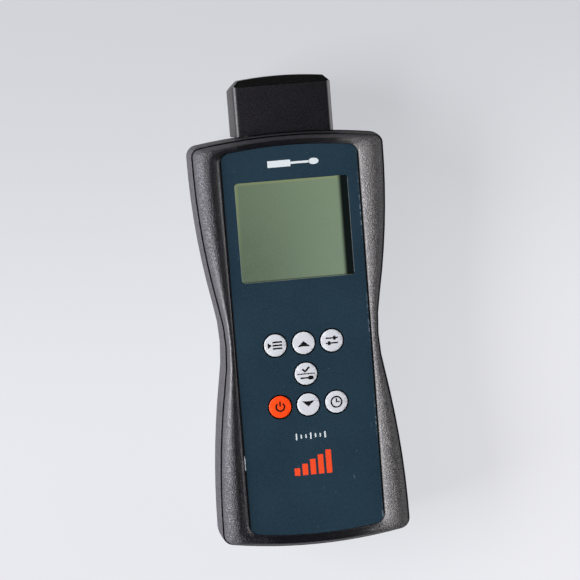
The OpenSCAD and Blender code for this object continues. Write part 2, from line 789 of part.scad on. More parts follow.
// Door that slides towards the lower end, with a rail on each side and a ribbed thumb rest
module battery_door() {
    color([0.07, 0.07, 0.076]) difference() {
        union() {
            translate([-door_half, door_low, door_sunk])
                cube([2 * door_half, door_end - door_low, door_t]);
            translate([-door_half - rail_w, door_low, rail_low])
                cube([2 * (door_half + rail_w), door_end - door_low, door_floor - rail_low]);
        }
        for (k = [1 : 5])
            translate([-cell_pitch, door_end - 2 * k * thumb_w, door_sunk - over])
                cube([2 * cell_pitch, thumb_w, over + thumb_w / 2]);
    }
}

function cell_x(k) = (k - (cells - 1) / 2) * cell_pitch;
function cell_dir(k) = k % 2 == 0 ? 1 : -1;
module battery_cells() {
    for (k = [0 : cells - 1])
        color([0.2, 0.2, 0.22])
        translate([cell_x(k), bay_y + bay_len / 2, cell_z]) rotate([-90 * cell_dir(k), 0, 0])
        translate([0, 0, -cell_len / 2]) {
            cylinder(r = cell_r - fit_gap, h = cell_len - over);
            cylinder(r = cell_r * 0.36, h = cell_len);
        }
}

// One conical contact spring, wound round Z from its wide foot
coil_turns = 3.5;
coil_steps = 14;
coil_sides = 6;
module coil(h) {
    n = coil_turns * coil_steps;
    r_wire = spring_wire / 2;
    pts = [for (i = [0 : n], s = [0 : coil_sides - 1])
        let (
            a = 360 * i / coil_steps,
            b = 360 * s / coil_sides,
            r = cell_r * (0.73 - 0.3 * i / n) + r_wire * cos(b))
        [r * cos(a), r * sin(a), r_wire + (h - 2 * r_wire) * i / n + r_wire * sin(b)]];
    sides = [for (i = [0 : n - 1], s = [0 : coil_sides - 1])
        let (t = (s + 1) % coil_sides, p = i * coil_sides, q = p + coil_sides)
        each [[p + s, q + s, q + t], [p + s, q + t, p + t]]];
    polyhedron(points = pts, faces = concat(sides,
        [[for (s = [0 : coil_sides - 1]) s]],
        [[for (s = [coil_sides - 1 : -1 : 0]) n * coil_sides + s]]));
}
module battery_springs() {
    h = contact_room - plate_t - fit_gap / 2;
    color([0.8, 0.8, 0.8]) for (k = [0 : cells - 1]) translate([cell_x(k), 0, cell_z])
        if (cell_dir(k) > 0) translate([0, bay_y + plate_t, 0]) rotate([-90, 0, 0]) coil(h);
        else translate([0, bay_end - plate_t, 0]) rotate([90, 0, 0]) coil(h);
}

// One plate behind each end of every cell
module end_plates(y) {
    side = cell_r * 1.75;
    for (k = [0 : cells - 1])
        translate([cell_x(k) - side / 2, y, cell_z - side / 2]) cube([side, plate_t, side]);
}
module spring_plate() {
    color([0.75, 0.75, 0.72]) end_plates(bay_y);
}
module contact_plate() {
    color([0.75, 0.75, 0.72]) end_plates(bay_end - plate_t);
}

// Case screws with a crossed recess, their heads sunk in the back
module case_screws() {
    head_low = screw_seat - screw_head_h;
    cross = screw_head_r / 4.5;
    color([0.6, 0.6, 0.62]) for (p = screw_spots) translate(p) difference() {
        union() {
            translate([0, 0, head_low]) cylinder(r = screw_head_r, h = screw_head_h);
            translate([0, 0, head_low + over]) cylinder(r = screw_r, h = screw_end - head_low - over);
        }
        for (a = [0, 90]) rotate([0, 0, a])
            translate([-screw_head_r / 2, -cross / 2, head_low - over])
                cube([screw_head_r, cross, screw_head_h / 2 + over]);
    }
}
module board_screws() {
    color([0.6, 0.6, 0.62]) for (p = pin_spots) translate(p) {
        translate([0, 0, board_low - pin_head_h]) cylinder(r = pin_head_r, h = pin_head_h);
        translate([0, 0, board_low - bite]) cylinder(r = pin_r, h = pin_end + bite - board_low);
    }
}

front_shell();
rear_shell();
front_panel();
display_mask();
display_glass();
light_guide();
main_board();
board_chips();
beeper();
switch_housings();
key_select();
key_up_arrow();
key_set();
key_enter();
key_power();
key_down_arrow();
key_time();
plunger_select();
plunger_up_arrow();
plunger_set();
plunger_enter();
plunger_power();
plunger_down_arrow();
plunger_time();
swab_tube();
sensor_housing();
sensor_window();
light_sensor();
dark_cap();
cap_pad();
battery_door();
battery_cells();
battery_springs();
spring_plate();
contact_plate();
case_screws();
board_screws();
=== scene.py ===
"""Looks of a handheld swab light meter that lies on its back, display up, cap towards +Y."""

import json
import math

import bpy
from mathutils import Matrix, Vector


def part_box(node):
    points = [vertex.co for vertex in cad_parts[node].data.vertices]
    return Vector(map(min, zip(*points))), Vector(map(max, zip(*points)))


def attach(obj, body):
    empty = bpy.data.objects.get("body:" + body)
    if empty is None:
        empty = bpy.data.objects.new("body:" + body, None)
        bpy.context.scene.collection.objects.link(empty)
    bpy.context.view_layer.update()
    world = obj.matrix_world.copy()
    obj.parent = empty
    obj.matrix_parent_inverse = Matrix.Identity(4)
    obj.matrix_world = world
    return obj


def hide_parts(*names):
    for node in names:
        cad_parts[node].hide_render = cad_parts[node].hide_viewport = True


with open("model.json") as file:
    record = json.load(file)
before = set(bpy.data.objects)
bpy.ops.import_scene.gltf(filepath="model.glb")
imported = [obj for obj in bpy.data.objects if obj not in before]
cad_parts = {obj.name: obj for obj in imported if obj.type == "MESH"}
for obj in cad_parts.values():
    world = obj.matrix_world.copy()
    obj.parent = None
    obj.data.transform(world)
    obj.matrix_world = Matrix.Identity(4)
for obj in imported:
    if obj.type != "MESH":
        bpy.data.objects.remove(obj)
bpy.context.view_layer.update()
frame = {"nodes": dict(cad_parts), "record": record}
bpy.ops.object.select_all(action="DESELECT")

MM = 0.001

# Names and places that the frame gives
KEY_NAMES = ["select", "up_arrow", "set", "enter", "power", "down_arrow", "time"]
PANEL_LOW, PANEL_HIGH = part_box("front_panel")
FACE_Z = PANEL_HIGH.z
GLASS_LOW, GLASS_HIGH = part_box("display_glass")
GLASS_LAP = Vector((1.7, 1.7, 0)) * MM  # how far the glass runs on under the panel
LENS_LOW, LENS_HIGH = GLASS_LOW + GLASS_LAP, GLASS_HIGH - GLASS_LAP

# How the solids are cleaned and smoothed
JOIN_WITHIN = 0.002 * MM
FLAT_WITHIN = math.radians(0.3)
SHARP_ANGLE = math.radians(32)
EDGE_SEGMENTS = 3

# Printed marks
INK_THICK = 0.02 * MM
INK_STEP = 0.004 * MM  # lifts one part of a mark above the part that it crosses
DISC_SIDES = 40
RING_SIDES = 48

# Lens over the display
LENS_THICK = 0.6 * MM
LENS_GAP = 0.1 * MM  # both sides together
LENS_SINK = 0.03 * MM  # how far its face lies under the panel's
LENS_CORNER = 1.35 * MM
LENS_CORNER_SEGMENTS = 6
LENS_SHARP_ANGLE = math.radians(30)

# Middle of the chip in the panel's left edge
CHIP_Y = -57 * MM

# Numbers of the sockets of a Mix node that mixes colours
MIX_AMOUNT, MIX_LOW, MIX_HIGH, MIX_RESULT = 0, 6, 7, 2


# Shader maths written as expressions
class Value:
    """A socket in a finish's node tree. Sums and products of values add Math nodes."""

    def __init__(self, finish, socket):
        self.finish = finish
        self.socket = socket

    def math(self, operation, *others):
        return self.finish.node("ShaderNodeMath", {"operation": operation}, self, *others)

    def __add__(self, other):
        return self.math("ADD", other)

    __radd__ = __add__

    def __mul__(self, other):
        return self.math("MULTIPLY", other)

    __rmul__ = __mul__

    def __sub__(self, other):
        return self.math("SUBTRACT", other)

    def __rsub__(self, other):
        return self.finish.node("ShaderNodeMath", {"operation": "SUBTRACT"}, other, self)

    def __abs__(self):
        return self.math("ABSOLUTE")

    def most(self, other):
        """The larger of the two."""
        return self.math("MAXIMUM", other)

    def least(self, other):
        """The smaller of the two."""
        return self.math("MINIMUM", other)

    def step(self, low, high):
        """0 below low, 1 above high and a soft ramp between; low above high turns it round."""
        return self.finish.node(
            "ShaderNodeMapRange",
            {"interpolation_type": "SMOOTHSTEP"},
            self, low, high, 0.0, 1.0)


class Finish:
    """A material with one Principled shader, built from values."""

    def __init__(self, name):
        self.material = bpy.data.materials.new(name)
        self.material.use_nodes = True
        self.tree = self.material.node_tree
        self.shader = self.tree.nodes["Principled BSDF"]
        self.place = self.node("ShaderNodeTexCoord", {}, out="Object")

    def node(self, kind, settings, *inputs, out=0, **named):
        """Adds any node, with its settings and its inputs, and returns one of its outputs."""
        made = self.tree.nodes.new(kind)
        for key, setting in settings.items():
            setattr(made, key, setting)
        for index, given in [*enumerate(inputs), *named.items()]:
            self.feed(made.inputs[index], given)
        return Value(self, made.outputs[out])

    def feed(self, socket, given):
        """Links a value to a socket, or sets the socket to a constant."""
        if isinstance(given, Value):
            self.tree.links.new(given.socket, socket)
        elif isinstance(given, tuple) and len(given) == 3 and socket.type == "RGBA":
            socket.default_value = (*given, 1.0)
        else:
            socket.default_value = given

    def set(self, **sockets):
        """Feeds the shader's sockets, written with _ for a space, and returns the material."""
        for name, given in sockets.items():
            self.feed(self.shader.inputs[name.replace("_", " ")], given)
        return self.material

    def noise(self, size, detail=2.0, rough=0.5, where=None):
        """Noise whose grain is about the given size in metres."""
        return self.node(
            "ShaderNodeTexNoise", {},
            Vector=where or self.place, Scale=1.0 / size, Detail=detail, Roughness=rough)

    def cells(self, size):
        """Distance to the nearest of many scattered points, as a share of the given size."""
        return self.node(
            "ShaderNodeTexVoronoi", {}, Vector=self.place, Scale=1.0 / size, out="Distance")

    def blend(self, amount, low, high):
        """A colour between low and high."""
        mixed = self.tree.nodes.new("ShaderNodeMix")
        mixed.data_type = "RGBA"
        self.feed(mixed.inputs[MIX_AMOUNT], amount)
        self.feed(mixed.inputs[MIX_LOW], low)
        self.feed(mixed.inputs[MIX_HIGH], high)
        return Value(self, mixed.outputs[MIX_RESULT])

    def coats(self, tone, *layers):
        """A tone with layers laid over it in turn, each an amount and a colour."""
        for amount, colour in layers:
            tone = self.blend(amount, tone, colour)
        return tone

    def bump(self, height, depth):
        return self.node("ShaderNodeBump", {}, Strength=1.0, Distance=depth, Height=height)

    def axis(self, letter, vector=None):
        """One coordinate of a vector; without one, of the place on the object."""
        return self.node("ShaderNodeSeparateXYZ", {}, vector or self.place, out=letter)

    def facing(self, letter):
        """How far the surface faces along an axis, from -1 to 1."""
        return self.axis(letter, self.node("ShaderNodeNewGeometry", {}, out="Normal"))


def linear(red, green, blue):
    """A colour given as screen values from 0 to 255, as linear light (the sRGB curve)."""
    return tuple(
        v / 255 / 12.92 if v <= 10 else ((v / 255 + 0.055) / 1.055) ** 2.4
        for v in (red, green, blue))


# Finishes of the outside
def case_plastic():
    """Black plastic with a fine spark grain. As painted light it is paler on the right and on
    faces that look up; as painted shade it is darker, and smoother, on the inner slope at the
    left and at the two ends."""
    f = Finish("case_plastic")
    x = f.axis("X")
    spark = f.noise(0.5 * MM, 1.0, 0.6).step(0.43, 0.57)
    pits = f.noise(0.52 * MM, 1.0, 0.6).step(0.43, 0.57)
    cloud = f.noise(14 * MM, 3.0, 0.6).step(0.35, 0.7)
    up = f.facing("Z").step(0.2, 0.7)
    right = x.step(0.0, 30 * MM) * up
    ends = (abs(x) + cloud * 4 * MM).step(38 * MM, 15 * MM)
    beside_panel = x.step(PANEL_LOW.x - 9 * MM, PANEL_LOW.x - 1 * MM)
    left_slope = f.facing("X").step(-0.34, 0.2).most(beside_panel) * x.step(5 * MM, -5 * MM)
    # Painted shade: darker and smoother on the inner slope at the left and at the two ends.
    painted_shade = ends.most(left_slope * 0.78) * up
    # Painted light: pits and sparks paler on the right rim, and sparks paler on faces that
    # look up.
    pits_tone = f.blend(right, (0.006, 0.006, 0.007), (0.06, 0.056, 0.057))
    spark_tone = f.coats(
        (0.034, 0.032, 0.044),
        (up, (0.07, 0.067, 0.082)),
        (right, (0.175, 0.166, 0.164)))
    return f.set(
        Specular_IOR_Level=0.78,
        Specular_Tint=(0.96, 0.94, 1.0),
        Base_Color=f.coats(
            pits_tone,
            (spark, spark_tone),
            (painted_shade * 0.9, (0.003, 0.003, 0.004))),
        Roughness=0.7 - spark * 0.1 - cloud * 0.03 - painted_shade * 0.33 - ends * up * 0.12,
        Normal=f.bump((pits + spark) * (1.0 - painted_shade * 0.85), 0.1 * MM))


def cap_plastic():
    """Satin black plastic with a painted highlight on its front edge at the right, painted
    shade darkening its far end, and smoother on the bevel there."""
    f = Finish("cap_plastic")
    fine = f.noise(0.42 * MM, 2.0, 0.6)
    speck = fine.step(0.42, 0.62)
    rubbed = f.noise(9 * MM, 3.0, 0.6).step(0.48, 0.7)
    right, up = f.facing("X"), f.facing("Z")
    # Painted shade: faces towards the far end are darkened.
    far = f.facing("Y").step(0.25, 0.7)
    bevel = far * up.step(0.1, 0.4)
    # Painted highlight: a pale line on the front edge that faces right.
    painted_highlight_edge = right.step(0.2, 0.5) * right.step(0.97, 0.8) * up.step(0.1, 0.3)
    return f.set(
        Specular_IOR_Level=0.26,
        Base_Color=f.coats(
            (0.003, 0.003, 0.004),
            (speck, (0.023, 0.021, 0.026)),
            (painted_highlight_edge, (0.3, 0.29, 0.31)),
            (far, (0.001, 0.001, 0.001))),
        Roughness=0.42 - bevel * 0.2 - speck * 0.08 - rubbed * 0.06,
        Normal=f.bump(fine, 0.02 * MM))


def printed_panel():
    """Blue-black print under a satin film: fine scratches and dust, pale dashes beside the
    right edge, painted shade in black along both side edges and on the cut sides, and a chip
    in the left edge."""
    f = Finish("printed_panel")
    x, y = f.axis("X"), f.axis("Y")
    grain = f.noise(0.5 * MM)
    cloud = f.noise(30 * MM)
    patches = f.noise(2.2 * MM, 3.0, 0.7)
    stretched = f.node(
        "ShaderNodeMapping", {}, f.place, Scale=(700.0, 90.0, 1.0), Rotation=(0, 0, 0.6))
    streaks = f.noise(1.0, where=stretched)
    scratches = streaks.step(0.735, 0.75) * cloud.step(0.5, 0.6)
    dust = f.cells(5.2 * MM).step(0.034, 0.022)

    edge = PANEL_HIGH.x - abs(x)
    # Painted shade: black along both side edges, where the gap to the rim lies.
    painted_gap_shade = edge.step(0.5 * MM, 0.3 * MM)
    # Pale dashes in stretches just inside the right edge.
    pale_dashes = patches.step(0.46, 0.58) * cloud.step(0.45, 0.6)
    pale_dashes = pale_dashes * x.step(0.0, 18 * MM) * edge.step(1.0 * MM, 0.7 * MM)
    # Painted shade: the cut sides are black.
    cut_side = abs(f.facing("Z")).step(0.95, 0.6)

    left_edge = abs(x - PANEL_LOW.x)
    chip = abs(y - CHIP_Y).step(3.2 * MM, 2.2 * MM)
    chip = chip * (left_edge + patches * 0.3 * MM).step(0.5 * MM, 0.38 * MM)
    return f.set(
        Specular_IOR_Level=0.3,
        Base_Color=f.coats(
            linear(24, 45, 59),
            (cloud.step(0.3, 0.7), linear(30, 51, 65)),
            (grain.step(0.35, 0.75) * 0.45, linear(48, 68, 81)),
            (scratches * 0.25, linear(120, 135, 145)),
            (dust * 0.4, linear(150, 160, 165)),
            (pale_dashes * 0.4, linear(150, 165, 175)),
            (cut_side.most(painted_gap_shade), (0.002, 0.002, 0.002)),
            (chip, linear(205, 210, 215))),
        Roughness=0.36 + grain * 0.12,
        Normal=f.bump(grain + dust * 1.5, 0.004 * MM))


def display():
    """Reflective liquid crystal: grey-green, darker to the left, with a warm line along its
    left and upper edges, a shadow at its foot, black beside the mask and a painted highlight
    along the window's sides and foot."""
    f = Finish("display")
    x, y = f.axis("X"), f.axis("Y")
    grain = f.noise(0.45 * MM)
    mottled = f.noise(9 * MM)
    dust = f.cells(4.6 * MM).step(0.024, 0.014)
    across = x.step(GLASS_LOW.x, GLASS_HIGH.x)
    along = y.step(GLASS_LOW.y, GLASS_HIGH.y)
    from_left, from_right = x - LENS_LOW.x, LENS_HIGH.x - x
    from_foot, from_top = y - LENS_LOW.y, LENS_HIGH.y - y

    left_line = from_left.step(1.6 * MM, 0.5 * MM)
    top_line = from_top.step(1.3 * MM, 0.5 * MM)
    foot_shadow = from_foot.step(0.9 * MM, 0.4 * MM)
    beside_mask = from_right.step(4.5 * MM, 2.6 * MM)
    # Painted highlight: a light line where the window's cut edge catches the light, along the
    # sides and more faintly at the foot.
    side_edge_highlight = from_right.least(from_left).step(0.24 * MM, 0.1 * MM)
    foot_edge_highlight = from_foot.step(0.24 * MM, 0.12 * MM) * 0.6
    return f.set(
        Specular_IOR_Level=0.3,
        Base_Color=f.coats(
            linear(84, 99, 81),
            (across, linear(118, 136, 114)),
            (along * 0.35, linear(118, 134, 108)),
            (grain.step(0.3, 0.7) * 0.1, linear(140, 156, 130)),
            (mottled.step(0.35, 0.75) * 0.18, linear(106, 122, 104)),
            (left_line.most(top_line) * along * 0.5, linear(136, 144, 100)),
            (dust * 0.4, linear(170, 184, 160)),
            (beside_mask, linear(10, 17, 17)),
            (foot_shadow * 0.6, linear(24, 30, 20)),
            (side_edge_highlight.most(foot_edge_highlight) * 0.75, linear(140, 150, 154))),
        Roughness=0.3 + grain * 0.06,
        Normal=f.bump(grain, 0.002 * MM))


def key_print(name, colour, speck):
    """A printed key: its colour on top; its side and all below the face black, as painted
    shade.
    """
    f = Finish(name)
    grain = f.noise(0.4 * MM)
    cloud = f.noise(4 * MM)
    # Painted shade: the side and all below the face are black, for the gap round the key.
    side = f.facing("Z").step(0.75, 0.35)
    deep = f.axis("Z").step(FACE_Z - 0.7 * MM, FACE_Z - 0.9 * MM)
    return f.set(
        Base_Color=f.coats(
            colour,
            (grain.step(0.3, 0.75) * 0.5, speck),
            (cloud.step(0.4, 0.8) * 0.25, speck),
            (side.most(deep), (0.004, 0.004, 0.004))),
        Roughness=0.42 + grain * 0.1,
        Normal=f.bump(grain, 0.004 * MM))


def printing_ink(name, colour, speck):
    f = Finish(name)
    grain = f.noise(0.35 * MM, 3.0)
    return f.set(
        Specular_IOR_Level=0.2,
        Base_Color=f.blend(grain.step(0.35, 0.8), colour, speck),
        Roughness=0.45 + grain * 0.15,
        Normal=f.bump(grain, 0.002 * MM))


# Finishes of the inside
def spark_texture(name, dark, pale, rough, gloss, size, depth):
    """Moulded plastic with an eroded grain, a little smoother in patches."""
    f = Finish(name)
    coarse = f.noise(size * 1.7, 3.0, 0.6)
    fine = f.noise(size, 2.0, 0.7)
    grain = fine + coarse
    speck = grain.step(0.82, 1.2)
    smooth = f.noise(18 * MM, 3.0, 0.6).step(0.52, 0.72)
    return f.set(
        Specular_IOR_Level=gloss,
        Base_Color=f.blend(speck, dark, pale),
        Roughness=rough - speck * 0.16 - smooth * 0.05,
        Normal=f.bump(grain, depth))


def moulded(name, colour, other, rough):
    f = Finish(name)
    fine = f.noise(0.6 * MM, 3.0)
    return f.set(
        Base_Color=f.blend(fine.step(0.3, 0.7), colour, other),
        Roughness=rough + fine * 0.1,
        Normal=f.bump(fine, 0.01 * MM))


def metal(name, colour, stained, rough):
    f = Finish(name)
    fine = f.noise(0.2 * MM, 3.0)
    stain = f.noise(3 * MM, 3.0).step(0.5, 0.75)
    return f.set(
        Metallic=1.0,
        Base_Color=f.blend(stain, colour, stained),
        Roughness=rough + fine * 0.15,
        Normal=f.bump(fine, 0.004 * MM))


def circuit_board():
    f = Finish("circuit_board")
    tracks = f.cells(2.4 * MM).step(0.42, 0.5)
    return f.set(
        Base_Color=f.blend(tracks, (0.012, 0.09, 0.03), (0.03, 0.17, 0.06)),
        Roughness=0.3 + tracks * 0.1,
        Normal=f.bump(tracks, 0.03 * MM))


def clear_window():
    f = Finish("clear_window")
    haze = f.noise(2 * MM)
    return f.set(
        Transmission_Weight=0.9,
        Base_Color=(0.85, 0.92, 0.95),
        Roughness=0.03 + haze * 0.04)


def foam():
    f = Finish("foam")
    pores = f.cells(0.7 * MM)
    return f.set(
        Base_Color=f.blend(pores, (0.008, 0.008, 0.008), (0.03, 0.03, 0.03)),
        Roughness=0.9 + pores * 0.05,
        Normal=f.bump(pores, 0.3 * MM))


def cell_wrap():
    """Shrink wrap: dark body, bare metal at both ends."""
    f = Finish("cell_wrap")
    low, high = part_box("battery_cells")
    from_middle = abs(f.axis("Y") - (low.y + high.y) / 2)
    ends = from_middle.step(21.0 * MM, 21.3 * MM)
    fine = f.noise(0.8 * MM)
    return f.set(
        Base_Color=f.blend(ends, (0.03, 0.032, 0.04), (0.6, 0.6, 0.58)),
        Metallic=ends,
        Roughness=0.28 + fine * 0.1)


FINISHES = {
    "case_plastic": case_plastic(),
    "cap_plastic": cap_plastic(),
    "printed_panel": printed_panel(),
    "black_trim": spark_texture(
        "black_trim", (0.003, 0.006, 0.006), (0.006, 0.01, 0.01),
        rough=0.5, gloss=0.3, size=0.6 * MM, depth=0.005 * MM),
    "display": display(),
    "white_plastic": moulded("white_plastic", (0.7, 0.7, 0.68), (0.78, 0.78, 0.76), 0.5),
    "circuit_board": circuit_board(),
    "chip_plastic": moulded(
        "chip_plastic", (0.015, 0.015, 0.016), (0.025, 0.025, 0.026), 0.55),
    "white_key": key_print("white_key", linear(210, 212, 218), linear(198, 202, 210)),
    "power_key": key_print("power_key", linear(255, 74, 4), linear(246, 64, 4)),
    "inner_black": spark_texture(
        "inner_black", (0.006, 0.006, 0.0065), (0.012, 0.012, 0.013),
        rough=0.62, gloss=0.5, size=0.5 * MM, depth=0.01 * MM),
    "clear_window": clear_window(),
    "sensor_metal": metal("sensor_metal", (0.6, 0.6, 0.58), (0.5, 0.48, 0.45), 0.3),
    "foam": foam(),
    "cell_wrap": cell_wrap(),
    "spring_steel": metal("spring_steel", (0.75, 0.74, 0.72), (0.6, 0.58, 0.55), 0.22),
    "plated_contact": metal("plated_contact", (0.72, 0.71, 0.68), (0.58, 0.56, 0.5), 0.28),
    "screw_steel": metal("screw_steel", (0.42, 0.42, 0.43), (0.3, 0.3, 0.31), 0.34),
}
DARK_INK = printing_ink("dark_ink", linear(9, 9, 11), linear(20, 20, 23))
WHITE_INK = printing_ink("white_ink", linear(222, 228, 232), linear(200, 208, 214))
RED_INK = printing_ink("red_ink", linear(240, 78, 40), linear(226, 66, 30))

SLOTS = {row["node"]: row["material_slot"] for row in frame["record"]["subparts"]}
for name, slot in SLOTS.items():
    node = frame["nodes"][name]
    node.data.materials.clear()
    node.data.materials.append(FINISHES[slot])


# Outer pieces: merged copies of the solids with softened edges
def soften(name, node, body, edge=0.0):
    """Copies a solid, joins its triangles, rounds its sharp edges and smooths its curves."""
    bpy.ops.object.select_all(action="DESELECT")
    source = frame["nodes"][node]
    piece = source.copy()
    piece.data = source.data.copy()
    bpy.context.collection.objects.link(piece)
    piece.parent = None
    piece.name = piece.data.name = name
    piece.select_set(True)
    bpy.context.view_layer.objects.active = piece
    bpy.ops.object.mode_set(mode="EDIT")
    bpy.ops.mesh.select_all(action="SELECT")
    bpy.ops.mesh.remove_doubles(threshold=JOIN_WITHIN)
    bpy.ops.mesh.dissolve_limited(angle_limit=FLAT_WITHIN)
    bpy.ops.object.mode_set(mode="OBJECT")
    bpy.ops.object.shade_smooth_by_angle(angle=SHARP_ANGLE)
    if edge:
        rounding = piece.modifiers.new("edges", "BEVEL")
        rounding.width = edge
        rounding.segments = EDGE_SEGMENTS
        rounding.limit_method = "ANGLE"
        rounding.angle_limit = SHARP_ANGLE
        rounding.harden_normals = True
        bpy.ops.object.modifier_apply(modifier=rounding.name)
    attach(piece, body)
    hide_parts(node)
    bpy.ops.object.select_all(action="DESELECT")


soften("case_front", "front_shell", "case")
soften("case_rear", "rear_shell", "case")
soften("panel_sheet", "front_panel", "case", edge=0.3 * MM)
soften("pull_off_cap", "dark_cap", "cap", edge=0.55 * MM)
soften("cell_door", "battery_door", "door", edge=0.15 * MM)
for name in KEY_NAMES:
    soften("keycap_" + name, "key_" + name, "key_" + name)


# Flat shapes that marks are made of, each around a place (x, y)
def settle(piece):
    """Puts the piece's place into its mesh."""
    bpy.ops.object.transform_apply(location=True, rotation=True, scale=True)
    return piece


def thicken(thick):
    """Gives the flat active object a thickness upwards."""
    bpy.ops.object.mode_set(mode="EDIT")
    bpy.ops.mesh.select_all(action="SELECT")
    bpy.ops.mesh.extrude_region_move(TRANSFORM_OT_translate={"value": (0, 0, thick)})
    bpy.ops.mesh.select_all(action="SELECT")
    bpy.ops.mesh.normals_make_consistent(inside=False)
    bpy.ops.object.mode_set(mode="OBJECT")


def flat_bar(x, y, width, height, turn=0.0):
    bpy.ops.mesh.primitive_plane_add(size=1, location=(x, y, 0), rotation=(0, 0, turn))
    bpy.context.object.scale = (width, height, 1)
    return settle(bpy.context.object)


def flat_disc(x, y, radius, squash):
    """A disc whose height is the given share of its width."""
    bpy.ops.mesh.primitive_circle_add(
        vertices=DISC_SIDES, radius=radius, fill_type="NGON", location=(x, y, 0))
    bpy.context.object.scale = (1, squash, 1)
    return settle(bpy.context.object)


def flat_arrow(x, y, width, height, notch=0.0, turn=0.0):
    """A wide arrowhead towards +Y with a notched base, turned by an angle."""
    bpy.ops.mesh.primitive_circle_add(
        vertices=4, radius=1, fill_type="NGON", location=(x, y, 0), rotation=(0, 0, turn))
    arrow = bpy.context.object
    for v in arrow.data.vertices:
        if v.co.y > 0.5:
            v.co = (0, height / 2, 0)
        elif v.co.y < -0.5:
            v.co = (0, notch - height / 2, 0)
        else:
            v.co = (math.copysign(width / 2, v.co.x), -height / 2, 0)
    return settle(arrow)


def flat_ring(x, y, radius, thick, gap=0.0):
    """A ring, open by an angle of gap round the +Y direction."""
    bpy.ops.mesh.primitive_circle_add(vertices=RING_SIDES, radius=radius, location=(x, y, 0))
    ring = bpy.context.object
    bpy.ops.object.mode_set(mode="EDIT")
    bpy.ops.mesh.select_all(action="SELECT")
    bpy.ops.mesh.extrude_edges_move()
    inner = 1 - thick / radius
    bpy.ops.transform.resize(value=(inner, inner, 1), center_override=(x, y, 0))
    if gap:
        bpy.ops.mesh.select_mode(type="FACE")
        bpy.ops.mesh.select_all(action="DESELECT")
        bpy.ops.object.mode_set(mode="OBJECT")
        for face in ring.data.polygons:
            away = abs(math.atan2(face.center.x, face.center.y))
            face.select = away < gap / 2
        bpy.ops.object.mode_set(mode="EDIT")
        bpy.ops.mesh.delete(type="FACE")
        bpy.ops.mesh.select_mode(type="VERT")
    bpy.ops.object.mode_set(mode="OBJECT")
    return settle(ring)


def raised(part):
    """Lifts a flat part a little above the part that it crosses."""
    part.location.z = INK_STEP
    return part


# Printed marks: thin ink shapes that lie on a flat face
def print_mark(name, parts, height, finish, body):
    """Joins flat parts into one mark and gives the ink its thickness."""
    bpy.ops.object.select_all(action="DESELECT")
    for part in parts:
        part.select_set(True)
    bpy.context.view_layer.objects.active = parts[0]
    if len(parts) > 1:
        bpy.ops.object.join()
    mark = bpy.context.object
    mark.name = mark.data.name = name
    mark.location.z = height
    thicken(INK_THICK)
    settle(mark)
    mark.data.materials.append(finish)
    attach(mark, body)
    bpy.ops.object.select_all(action="DESELECT")


def key_top(name):
    low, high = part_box("key_" + name)
    return (low.x + high.x) / 2, (low.y + high.y) / 2, high.z


def select_mark(x, y):
    """Three list lines with a pointer at their left."""
    lines = [
        flat_bar(x + 0.75 * MM, y + k * 1.25 * MM, 3.7 * MM, 0.66 * MM) for k in (-1, 0, 1)]
    pointer = flat_arrow(x - 2.2 * MM, y, 2.2 * MM, 1.6 * MM, turn=math.radians(-90))
    return [*lines, pointer]


def up_mark(x, y):
    return [flat_arrow(x, y - 0.35 * MM, 4.9 * MM, 2.3 * MM, notch=0.2 * MM)]


def set_mark(x, y):
    """Two sliders."""
    rails = [flat_bar(x, y + k * MM, 4.8 * MM, 0.56 * MM) for k in (-1, 1)]
    knobs = [
        raised(flat_bar(x + k * 1.1 * MM, y + k * MM, 0.95 * MM, 1.6 * MM)) for k in (-1, 1)]
    return rails + knobs


def enter_mark(x, y):
    """A tick above a dividing line and a swab below it."""
    line = flat_bar(x, y, 7.0 * MM, 0.42 * MM)
    tick_down = flat_bar(
        x - 0.8 * MM, y + 1.35 * MM, 1.5 * MM, 0.7 * MM, turn=math.radians(-45))
    tick_up = raised(flat_bar(
        x + 0.5 * MM, y + 1.72 * MM, 2.6 * MM, 0.7 * MM, turn=math.radians(45)))
    stick = flat_bar(x - 0.6 * MM, y - 1.65 * MM, 3.4 * MM, 0.6 * MM)
    tip = raised(flat_disc(x + 1.75 * MM, y - 1.65 * MM, 1.15 * MM, squash=0.7))
    return [line, tick_down, tick_up, stick, tip]


def power_mark(x, y):
    """An open ring with a bar in its gap."""
    ring = flat_ring(x, y, 1.95 * MM, 0.62 * MM, gap=math.radians(76))
    bar = flat_bar(x, y + 1.2 * MM, 0.62 * MM, 2.1 * MM)
    return [ring, bar]


def down_mark(x, y):
    return [flat_arrow(
        x, y + 0.3 * MM, 4.9 * MM, 2.3 * MM, notch=0.2 * MM, turn=math.radians(180))]


def time_mark(x, y):
    """A clock face with two hands."""
    ring = flat_ring(x, y, 2.4 * MM, 0.6 * MM)
    minute_hand = flat_bar(x, y + 0.65 * MM, 0.5 * MM, 1.6 * MM)
    hour_hand = raised(flat_bar(x + 0.55 * MM, y, 1.6 * MM, 0.5 * MM))
    return [ring, minute_hand, hour_hand]


KEY_MARKS = {
    "select": select_mark, "up_arrow": up_mark, "set": set_mark, "enter": enter_mark,
    "power": power_mark, "down_arrow": down_mark, "time": time_mark}
for name, draw in KEY_MARKS.items():
    x, y, top = key_top(name)
    slot = "power_key" if name == "power" else "white_key"
    print_mark("mark_" + name, draw(x, y), top, DARK_INK, "key_" + name)

# A white swab above the display
SWAB_Y = PANEL_HIGH.y - 7.0 * MM
SWAB_PARTS = [
    flat_bar(-4.2 * MM, SWAB_Y, 9.0 * MM, 2.6 * MM),
    flat_bar(4.0 * MM, SWAB_Y, 7.4 * MM, 0.9 * MM),
    flat_disc(9.4 * MM, SWAB_Y, 2.0 * MM, squash=0.62)]
print_mark("panel_swab_sign", SWAB_PARTS, FACE_Z, WHITE_INK, "case")

